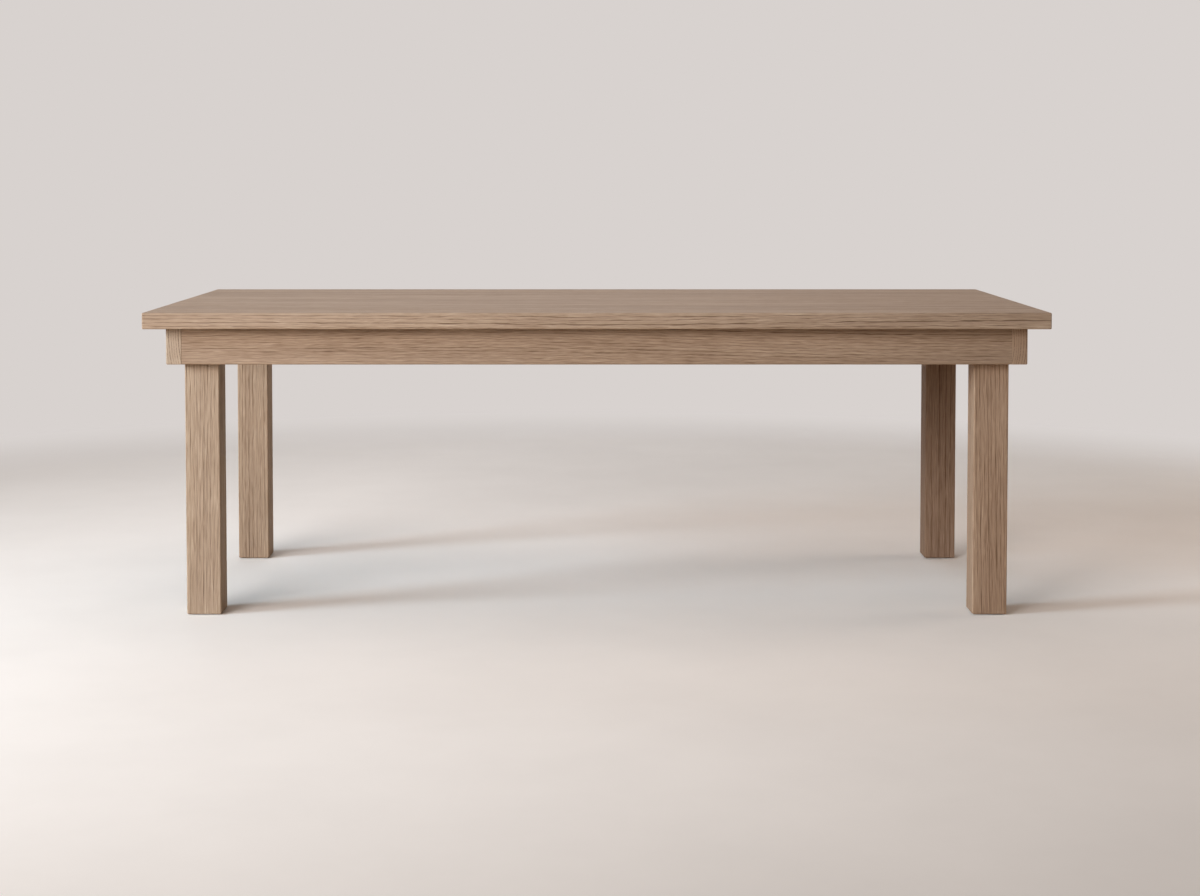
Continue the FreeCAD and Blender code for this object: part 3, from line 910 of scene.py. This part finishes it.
class DowelTree(RowTree):
    """Fluted dowels with chamfered ends.

    Attributes:
        SIDES: How many sides go round a dowel.
        ROWS: How many rows of faces go along it: two chamfers and what is between them.
        INNER: How far from the middle, of a length of one, a point has to be to lie on an end.
    """

    SIDES = 20
    ROWS = 3
    INNER = 0.4

    def __init__(self) -> None:
        """Builds the tree."""
        super().__init__("Fluted dowel", {"Float": ("Length", "Radius", "Chamfer", "Flute")})
        graph, given = self.graph, self.inputs
        rod, x, y, share = self.rod(self.SIDES, self.ROWS)
        off = graph.minus(share, 0.5)
        inner = graph.math("LESS_THAN", graph.math("ABSOLUTE", off), self.INNER)
        middle = graph.math("DIVIDE", given["Length"], 2.0)
        half = graph.minus(middle, graph.times(inner, given["Chamfer"]))
        z = graph.math("MULTIPLY_ADD", graph.math("SIGN", off), half, middle)
        odd = graph.math("MODULO", graph.add("GeometryNodeInputIndex").outputs[0], 2.0)
        flute = graph.times(odd, given["Flute"])
        chamfer = graph.times(graph.minus(1.0, inner), given["Chamfer"])
        radius = graph.minus(given["Radius"], graph.plus(flute, chamfer))
        self.set_out(self.shaped(rod, x, y, z, radius))


# Sub-assemblies


def plain_copy(node: str) -> bmesh.types.BMesh:
    """A node's mesh with its corners joined.

    Args:
        node: The frame's node.

    Returns:
        The joined mesh, for the caller to free.
    """
    mesh = bmesh.new()
    mesh.from_mesh(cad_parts[node].data)
    bmesh.ops.remove_doubles(mesh, verts=mesh.verts, dist=WELD)
    return mesh


def put_in_place(piece: Piece, node: str) -> None:
    """Puts a finished piece in its node's place.

    Args:
        piece: The piece.
        node: The node it replaces.
    """
    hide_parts(node)
    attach(piece, BODY)
    log.info("%s: %d faces", piece.name, len(piece.data.polygons))


@dataclass
class Board:
    """One board: the node it stands for, how its timber was sawn and how its sides are eased.

    Attributes:
        node: The frame's node.
        axis: The way the grain runs.
        heart: Where the tree's heart lies from the board's middle, across and through it, in metres.
        drift: How far the heart wanders across and through the board in a metre of its length.
        square: Sides left square for joints, as +X, -X and so on.
        tight: Sides with only a trace of an arris.
        crisp: Sides eased a little.
        radius: The least and the most radius of its arrises.
        tone: How light the board is in red, green and blue; on the legs and the end aprons this tint is
            painted light and shade.
        seed: Which stretch of timber it is.
        SQUARE_REACH: How far the eased box reaches past a square side, in metres.
        TIGHT_SHARE: How far it reaches past a tight side, in least radii.
        CRISP_SHARE: How far it reaches past a crisp side, in least radii.
    """

    SQUARE_REACH = 0.2
    TIGHT_SHARE = 0.8
    CRISP_SHARE = 0.6

    node: str
    axis: Axis
    heart: Pair
    drift: Pair = (0.0, 0.0)
    square: tuple[str, ...] = ()
    tight: tuple[str, ...] = ()
    crisp: tuple[str, ...] = ()
    radius: Pair = (3.0 * MM, 4.6 * MM)
    tone: Triple = (1.0, 1.0, 1.0)
    seed: int = 0

    def eased(self, low: Vector, high: Vector) -> tuple[Vector, Vector]:
        """The box whose arrises are rounded, which reaches past the board's square, tight and crisp sides.

        Args:
            low: The board's low corner.
            high: The board's high corner.

        Returns:
            The box's low and high corners.
        """
        corners = {"-": low.copy(), "+": high.copy()}
        least = self.radius[0]
        for sides, reach in (
            (self.square, self.SQUARE_REACH),
            (self.tight, self.TIGHT_SHARE * least),
            (self.crisp, self.CRISP_SHARE * least),
        ):
            for sign, letter in sides:
                corners[sign]["XYZ".index(letter)] += reach if sign == "+" else -reach
        return corners["-"], corners["+"]


@dataclass
class Joinery:
    """Makes boards from the frame's nodes.

    Attributes:
        tree: The boards' tree.
        row_length: How far apart the rows of points stand along the grain.
        row_width: How far apart they stand across it.
        inset: How far a board stays inside its node.
        wear_length: How long a worn stretch of an arris is.
        seed_start: How far up the tree the first stretch of timber is.
        seed_length: How much farther up each next one is.
        seed_wear: How far the wear is shifted from one stretch to the next.
    """

    tree: EasedBoardTree
    row_length: float = 12.0 * MM
    row_width: float = 16.0 * MM
    inset: float = 0.02 * MM
    wear_length: float = 0.06
    seed_start: float = 5.0
    seed_length: float = 0.37
    seed_wear: float = 3.1

    def make(self, board: Board, finish: Material, slot: str) -> None:
        """Makes a board and puts it in its node's place.

        Args:
            board: The board.
            finish: Its material.
            slot: The record's material slot. Not used.
        """
        edge = Vector((self.inset,) * 3)
        low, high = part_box(board.node)
        low = low + edge
        high = high - edge
        ease_low, ease_high = board.eased(low, high)
        along, across, through = (Vector(way) for way in board.axis.value)
        stretch = along * (self.seed_length * board.seed + self.seed_start)
        values = {
            "Low": low,
            "High": high,
            "Ease Low": ease_low,
            "Ease High": ease_high,
            "Least Radius": board.radius[0],
            "Most Radius": board.radius[1],
            "Wear Length": self.wear_length,
            "Seed": self.seed_wear * board.seed,
            "Solid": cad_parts[board.node],
            "Along": along,
            "Across": across - along * board.drift[0],
            "Through": through - along * board.drift[1],
            "Heart": (low + high) / 2 + across * board.heart[0] + through * board.heart[1] - stretch,
            "Tone": board.tone,
            "Material": finish,
        }
        for letter, side, way in zip("XYZ", high - low, along):
            step = self.row_length if abs(way) > 0.5 else self.row_width
            values[f"Count {letter}"] = 2 * EasedBoardTree.BANDS + 1 + max(2, round(side / step))
        piece = self.tree.grow(f"{board.node}_timber", bpy.data.meshes.new(board.node), values)
        put_in_place(piece, board.node)


@dataclass
class PlankTop:
    """The top: planks side by side, eased all round, with tight joints between them.

    Attributes:
        joinery: What makes the planks.
        finish: Their finish.
        tones: How light each plank is, from the front.
        radius: The least and the most radius of their arrises.
        heart_off: How far to one side the nearest heart lies.
        heart_step: How much farther the next ones lie.
        heart_below: How far below the planks the hearts lie.
        drift: How far a heart wanders in a metre.
    """

    joinery: Joinery
    finish: BrushedOak = BrushedOak(
        "brushed_oak_top",
        ring_width=7.5 * MM,
        ring_strength=0.82,
        ripple=4.2 * MM,
        shine=0.1,
        ripples=(16.0, 50.0, 50.0),
        ring_breaks=(12.0, 220.0, 220.0),
        broad_fibres=(12.0, 480.0, 480.0),
        fine_fibres=(24.0, 920.0, 920.0),
    )
    tones: tuple[float, ...] = (1.0, 0.97, 1.03, 0.985, 1.025, 0.965, 1.01)
    radius: Pair = (3.2 * MM, 5.2 * MM)
    heart_off: float = 0.11
    heart_step: float = 0.03
    heart_below: float = 0.12
    drift: float = 0.006

    def build(self) -> None:
        """Builds and dresses the planks."""
        material = self.finish.material()
        last = len(self.tones) - 1
        for index, tone in enumerate(self.tones):
            side = 1 if index % 2 else -1
            board = Board(
                f"top_board_{index + 1}",
                Axis.LENGTHWAYS,
                heart=((self.heart_off + self.heart_step * (index % 3)) * side, -self.heart_below),
                drift=(self.drift * side, self.drift),
                tight=("-Y",) * (index > 0) + ("+Y",) * (index < last),
                crisp=("-X", "+X"),
                radius=self.radius,
                tone=(tone,) * 3,
                seed=index + 1,
            )
            self.joinery.make(board, material, "top_oak")


@dataclass
class ApronBox:
    """The box under the top: two long aprons between two end aprons."""

    joinery: Joinery
    finish: BrushedOak = BrushedOak("brushed_oak_apron")
    tone: Triple = (0.925, 0.9, 0.88)
    end_finish: BrushedOak = BrushedOak(
        "brushed_oak_end_apron", ring_width=6.0 * MM, ring_strength=0.85, bend=12.0 * MM, ripple=1.6 * MM
    )
    end_radius: Pair = (1.4 * MM, 2.2 * MM)
    end_drift: Pair = (0.004, 0.006)

    def build(self) -> None:
        """Builds and dresses the aprons."""
        material = self.finish.material()
        end_material = self.end_finish.material()
        for node, heart, drift, seed in (
            ("front_apron", (-0.16, 0.08), (-0.012, 0.006), 11),
            ("back_apron", (0.15, -0.07), (0.010, 0.008), 12),
        ):
            board = Board(
                node,
                Axis.LENGTHWAYS_ON_EDGE,
                heart,
                drift,
                square=("+X", "-X", "+Z"),
                tone=self.tone,
                seed=seed,
            )
            self.joinery.make(board, material, "apron_oak")
        # The end aprons' tints are painted light and shade: the left one lighter and cooler, as if lit from
        # the left, the right one darker and warmer, as if in shade.
        for node, heart, tone, seed in (
            ("left_end_apron", (0.0, 0.3), (1.04, 1.1, 1.15), 13),
            ("right_end_apron", (-0.03, -0.26), (1.0, 0.96, 0.93), 14),
        ):
            board = Board(
                node,
                Axis.CROSSWAYS_ON_EDGE,
                heart,
                self.end_drift,
                square=("+Z",),
                radius=self.end_radius,
                tone=tone,
                seed=seed,
            )
            self.joinery.make(board, end_material, "apron_oak")


@dataclass
class Legs:
    """Four square posts in the corners of the apron box."""

    joinery: Joinery
    finish: BrushedOak = BrushedOak(
        "brushed_oak_leg",
        ring_width=7.4 * MM,
        ring_strength=0.74,
        faintest_ring=0.4,
        fibre_strength=0.2,
        bend=18.0 * MM,
        ripple=2.0 * MM,
        ring_breaks=(8.0, 260.0, 260.0),
        broad_fibres=(11.0, 600.0, 600.0),
        fine_fibres=(20.0, 1050.0, 1050.0),
    )
    radius: Pair = (2.6 * MM, 3.6 * MM)

    def build(self) -> None:
        """Builds and dresses the legs."""
        material = self.finish.material()
        # Each leg's tint is painted light and shade: the front left leg lighter and cooler, as if lit from
        # the left; the front right darker and warmer, as if in shade; the back left a little darker; the
        # back right much darker, painted shade from the table above it.
        for node, heart, drift, tone, seed in (
            ("front_left_leg", (0.17, 0.07), (0.008, 0.004), (1.04, 1.08, 1.1), 21),
            ("front_right_leg", (-0.16, 0.08), (-0.008, 0.006), (0.97, 0.91, 0.87), 22),
            ("back_right_leg", (-0.19, 0.07), (0.006, 0.008), (0.71, 0.65, 0.63), 27),
            ("back_left_leg", (0.24, 0.03), (-0.006, 0.005), (0.91, 0.91, 0.9), 26),
        ):
            board = Board(
                node,
                Axis.UPRIGHT,
                heart,
                drift,
                square=("+Z",),
                crisp=("-Z",),
                radius=self.radius,
                tone=tone,
                seed=seed,
            )
            self.joinery.make(board, material, "leg_oak")


@dataclass
class Rod:
    """Where a long loose piece of a node lies.

    Attributes:
        start: The middle of its wider end.
        aim: The way from there to its other end.
        length: How long it is.
        END_SHARE: How much of the length counts as an end.
    """

    END_SHARE = 0.02

    start: Vector
    aim: Vector
    length: float

    @classmethod
    def of(cls, points: np.ndarray) -> "Rod":
        """The rod that a loose piece's points lie on.

        Args:
            points: The points, a row each.

        Returns:
            The rod.
        """
        middle = points.mean(axis=0)
        axis = np.linalg.eigh(np.cov((points - middle).T))[1][:, -1]
        along = (points - middle) @ axis
        off = np.linalg.norm(points - middle - np.outer(along, axis), axis=1)
        reach = np.ptp(along)
        near = cls.END_SHARE * reach
        low_end, high_end = (off[np.abs(along - end) < near].max() for end in (along.min(), along.max()))
        if high_end > low_end:
            axis = -axis
            along = -along
        return cls(Vector(middle + along.min() * axis), Vector(axis), float(reach))

    @classmethod
    def all_of(cls, node: str) -> list["Rod"]:
        """The rods of a node's loose pieces.

        Args:
            node: The frame's node.

        Returns:
            A rod for each loose piece.
        """
        mesh = plain_copy(node)
        left = set(mesh.verts)
        rods = []
        while left:
            found = set()
            rim = [next(vert for vert in mesh.verts if vert in left)]
            while rim:
                vert = rim.pop()
                if vert not in found:
                    found.add(vert)
                    rim.extend(link.other_vert(vert) for link in vert.link_edges)
            left -= found
            rods.append(cls.of(np.array([vert.co for vert in mesh.verts if vert in found])))
        mesh.free()
        return rods


@dataclass(frozen=True)
class Fastener:
    """The sizes of a fastener, each named as its tree's input is."""

    def inputs(self, length: float) -> dict[str, float]:
        """What each input of its tree gets, apart from the material, for a fastener of this length."""
        sizes = {name.replace("_", " ").title(): size for name, size in vars(self).items()}
        return {"Length": length} | sizes


@dataclass(frozen=True)
class Thread(Fastener):
    """A screw or bolt, whose thread is cut below its full radius.

    Attributes:
        ROWS_PER_TURN: How many rows of faces make a turn of the thread.
    """

    ROWS_PER_TURN = 4

    radius: float = 2.25 * MM
    head_radius: float = 4.5 * MM
    head_height: float = 2.6 * MM
    plain_share: float = 0.35
    point: float = 6.0 * MM
    pitch: float = 2.2 * MM
    groove: float = 0.6 * MM
    cross_length: float = 4.6 * MM
    cross_width: float = 1.2 * MM
    cross_depth: float = 1.7 * MM

    def inputs(self, length: float) -> dict[str, float]:
        """The sizes, with enough rows of faces for the thread."""
        return super().inputs(length) | {"Rows": self.ROWS_PER_TURN * round(length / self.pitch)}


@dataclass(frozen=True)
class Dowel(Fastener):
    """A dowel, whose flutes are cut below its full radius."""

    radius: float = 5.0 * MM
    chamfer: float = 1.0 * MM
    flute: float = 0.35 * MM


@dataclass
class Fasteners:
    """Screws, hanger bolts and dowels, each kind set out in rows where the frame has them."""

    steel: Material
    beech: Material
    screw: Thread = Thread()
    bolt: Thread = Thread(
        radius=5.0 * MM,
        head_radius=4.0 * MM,
        head_height=1.0 * MM,
        plain_share=0.0,
        point=8.0 * MM,
        pitch=2.5 * MM,
        groove=0.9 * MM,
    )
    dowel: Dowel = Dowel()

    def build(self) -> None:
        """Builds and dresses every row."""
        screws = ThreadedTree("Screw", crossed=True)
        for node in ("corner_block_screws", "cross_rail_screws", "top_button_screws", "foot_glide_screws"):
            self.set_out(screws, node, self.screw, self.steel, "zinc_steel")
        bolts = ThreadedTree("Hanger bolt", crossed=False)
        self.set_out(bolts, "leg_hanger_bolts", self.bolt, self.steel, "zinc_steel")
        dowels = DowelTree()
        for node in ("top_board_dowels", "apron_corner_dowels"):
            self.set_out(dowels, node, self.dowel, self.beech, "frame_beech")

    def set_out(self, tree: RowTree, node: str, kind: Fastener, material: Material, slot: str) -> None:
        """Sets out one row of fasteners.

        Args:
            tree: The fasteners' tree.
            node: The node they replace.
            kind: Their sizes.
            material: Their finish.
            slot: The record's material slot. Not used.
        """
        rods = Rod.all_of(node)
        base = bpy.data.meshes.new(node)
        base.from_pydata([rod.start for rod in rods], [], [])
        aims = base.attributes.new("aim", "FLOAT_VECTOR", "POINT")
        for spot, rod in zip(aims.data, rods):
            spot.vector = rod.aim
        values = kind.inputs(rods[0].length) | {"Material": material}
        put_in_place(tree.grow(f"{node}_row", base, values), node)


@dataclass
class HiddenFrame:
    """The beech frame under the top, the washers, nuts and glides, with every edge a little broken."""

    joinery: Joinery
    steel: Material
    beech: Material
    nylon: Material
    timber_edge: float = 0.8 * MM
    small_edge: float = 0.25 * MM
    edge_segments: int = 2
    edge_angle: float = 40.0
    flat_angle: float = 0.5
    rail_radius: Pair = (1.2 * MM, 2.0 * MM)
    rail_heart: Pair = (0.1, 0.1)
    first_seed: int = 31
    corners: tuple[str, ...] = ("front_left", "front_right", "back_right", "back_left")

    def build(self) -> None:
        """Builds and dresses the frame."""
        for seed, side in enumerate(("left", "right"), self.first_seed):
            rail = Board(
                f"{side}_cross_rail",
                Axis.CROSSWAYS_ON_EDGE,
                self.rail_heart,
                square=("+Z", "+Y", "-Y"),
                radius=self.rail_radius,
                seed=seed,
            )
            self.joinery.make(rail, self.beech, "frame_beech")
        for node in [f"{corner}_corner_block" for corner in self.corners] + ["top_buttons"]:
            self.soften(node, self.timber_edge, self.beech)
        for node in ("leg_bolt_washers", "leg_bolt_nuts"):
            self.soften(node, self.small_edge, self.steel)
        self.soften("foot_glides", self.small_edge, self.nylon)

    def soften(self, node: str, width: float, material: Material) -> None:
        """Breaks the edges of a node's solid and dresses it.

        Args:
            node: The frame's node.
            width: How wide the broken edge is.
            material: Its finish.
        """
        mesh = plain_copy(node)
        flat = math.radians(self.flat_angle)
        bmesh.ops.dissolve_limit(mesh, angle_limit=flat, verts=mesh.verts, edges=mesh.edges)
        data = bpy.data.meshes.new(node)
        mesh.to_mesh(data)
        mesh.free()
        data.materials.append(material)
        piece = bpy.data.objects.new(f"{node}_softened", data)
        bpy.context.scene.collection.objects.link(piece)
        bevel = piece.modifiers.new("broken_edges", "BEVEL")
        bevel.width = width
        bevel.segments = self.edge_segments
        bevel.limit_method = "ANGLE"
        bevel.angle_limit = math.radians(self.edge_angle)
        bevel.use_clamp_overlap = False
        put_in_place(settle(piece), node)


# Studio


@dataclass
class Lamp:
    """A soft box.

    Attributes:
        name: Its name.
        place: Where it hangs.
        target: The point it looks at.
        size: Its width and height.
        power: Its power in watts.
        colour: Its colour.
        spread: How wide its light opens, in degrees.
    """

    name: str
    place: Triple
    target: Triple
    size: Pair
    power: float
    colour: Triple
    spread: float = 180.0

    def hang(self) -> None:
        """Hangs the lamp."""
        light = bpy.data.lights.new(self.name, "AREA")
        light.shape = "RECTANGLE"
        light.size, light.size_y = self.size
        light.energy = self.power
        light.color = self.colour
        light.spread = math.radians(self.spread)
        lamp = bpy.data.objects.new(self.name, light)
        way = Vector(self.target) - Vector(self.place)
        turn = way.to_track_quat("-Z", "Y").to_matrix().to_4x4()
        lamp.matrix_world = Matrix.Translation(self.place) @ turn
        bpy.context.scene.collection.objects.link(lamp)


@dataclass
class Studio:
    """A pale floor that fades into a pale backdrop, soft light from the left, and the camera."""

    floor_half: float = 30.0
    floor_colour: Colour = tint(242, 244, 246)
    floor_clouds: Triple = (2.2, 2.2, 2.2)
    cloud_span: Pair = (0.35, 0.65)
    floor_lift: float = 1.03
    bounce_colour: Colour = tint(226, 209, 190)
    backdrop: Colour = tint(216, 210, 207)
    fade: Pair = (2.6, 3.9)
    ambient: float = 0.11
    ambient_colour: Colour = (1.0, 0.76, 0.55, 1.0)
    lamps: tuple[Lamp, ...] = (
        Lamp(
            "key_softbox", place=(-6.2, -2.5, 2.6), target=(0.2, 0.0, 0.85), size=(2.0, 2.4),
            power=44.0, colour=(0.95, 1.1, 1.18), spread=66.0
        ),
        Lamp(
            "front_softbox", place=(-3.9, -5.0, 2.25), target=(-1.6, -0.6, 0.75), size=(4.2, 2.4),
            power=86.0, colour=(1.0, 0.905, 0.84), spread=80.0
        ),
        Lamp(
            "ceiling_softbox", place=(0.1, 0.0, 4.2), target=(0.1, 0.001, 0.0), size=(4.0, 4.0),
            power=49.0, colour=(1.0, 0.735, 0.585)
        ),
        Lamp(
            "rear_softbox", place=(-0.8, 4.2, 4.0), target=(0.0, 0.0, 0.4), size=(4.0, 2.0),
            power=57.0, colour=(1.0, 1.03, 1.06)
        ),
        Lamp(
            "fill_softbox", place=(4.9, 1.2, 1.3), target=(1.0, 0.0, 0.45), size=(2.0, 1.4),
            power=46.0, colour=(1.0, 0.81, 0.67)
        ),
    )
    lens: float = 61.91
    sensor: float = 36.0
    shift: Pair = (0.0027, -0.15)
    camera_place: Triple = (0.0, -5.4745, 1.0978)
    camera_pitch: float = 2.696

    def set_up(self) -> None:
        """Sets up the floor, the light and the camera."""
        self.lay_floor()
        self.light_room()
        for lamp in self.lamps:
            lamp.hang()
        self.place_camera()
        bpy.context.scene.view_settings.view_transform = "Standard"

    def lay_floor(self) -> None:
        """Lays the floor, which fades into the backdrop away from the table."""
        mesh = bpy.data.meshes.new("studio_floor")
        half = self.floor_half
        corners = [(x, y, 0.0) for x, y in ((-half, -half), (half, -half), (half, half), (-half, half))]
        mesh.from_pydata(corners, [], [(0, 1, 2, 3)])
        floor = bpy.data.objects.new("studio_floor", mesh)
        bpy.context.scene.collection.objects.link(floor)
        material, graph = new_material("pale_floor")
        place = graph.surface_place()
        cloud = graph.noise(place, self.floor_clouds, detail=4.0, roughness=0.6)
        cloud = graph.remap(cloud, self.cloud_span)
        paler = tuple(min(1.0, self.floor_lift * part) for part in self.floor_colour)
        colour = graph.colour_mix(cloud, self.floor_colour, paler)
        seen = self.seen(graph)
        colour = graph.colour_mix(seen, self.bounce_colour, colour)
        lit = graph.add("ShaderNodeBsdfDiffuse", {"Color": colour})
        glow = graph.add("ShaderNodeEmission", {"Color": self.backdrop, "Strength": 1.0})
        far = graph.remap(graph.vector("LENGTH", place), self.fade, smooth=True)
        mix = {0: graph.times(far, seen), 1: lit.outputs[0], 2: glow.outputs[0]}
        graph.add("ShaderNodeOutputMaterial", {"Surface": graph.add("ShaderNodeMixShader", mix).outputs[0]})
        mesh.materials.append(material)

    def seen(self, graph: Graph) -> Socket:
        """Whether a place is seen by the camera, in a reflection or through something clear.

        Args:
            graph: The material's or the world's graph.

        Returns:
            1 where it is seen, 0 where it only sends light on.
        """
        path = graph.add("ShaderNodeLightPath").outputs
        mirrored = graph.math("MAXIMUM", path["Is Glossy Ray"], path["Is Transmission Ray"])
        return graph.math("MAXIMUM", path["Is Camera Ray"], mirrored)

    def light_room(self) -> None:
        """Lights the room evenly and gives what the camera sees of it the backdrop's colour."""
        world = bpy.data.worlds.new("studio")
        bpy.context.scene.world = world
        world.use_nodes = True
        world.node_tree.nodes.clear()
        graph = Graph(world.node_tree)
        room = graph.add("ShaderNodeBackground", {"Color": self.ambient_colour, "Strength": self.ambient})
        shown = graph.add("ShaderNodeBackground", {"Color": self.backdrop, "Strength": 1.0})
        mix = {0: self.seen(graph), 1: room.outputs[0], 2: shown.outputs[0]}
        graph.add("ShaderNodeOutputWorld", {"Surface": graph.add("ShaderNodeMixShader", mix).outputs[0]})

    def place_camera(self) -> None:
        """Places the camera in front of the table, a little above its top."""
        data = bpy.data.cameras.new("camera")
        data.lens = self.lens
        data.sensor_width = self.sensor
        data.shift_x, data.shift_y = self.shift
        camera = bpy.data.objects.new("camera", data)
        camera.location = self.camera_place
        camera.rotation_euler = (math.radians(90.0 - self.camera_pitch), 0.0, 0.0)
        bpy.context.scene.collection.objects.link(camera)
        bpy.context.scene.camera = camera


def main() -> None:
    """Builds the table from its top down and sets up the studio."""
    logging.basicConfig(level=logging.INFO, format="%(message)s")
    joinery = Joinery(EasedBoardTree())
    PlankTop(joinery).build()
    ApronBox(joinery).build()
    Legs(joinery).build()
    steel, beech, nylon = (finish.material() for finish in (ZincSteel(), PlanedBeech(), MouldedNylon()))
    HiddenFrame(joinery, steel, beech, nylon).build()
    Fasteners(steel, beech).build()
    Studio().set_up()


if __name__ == "__main__":
    main()
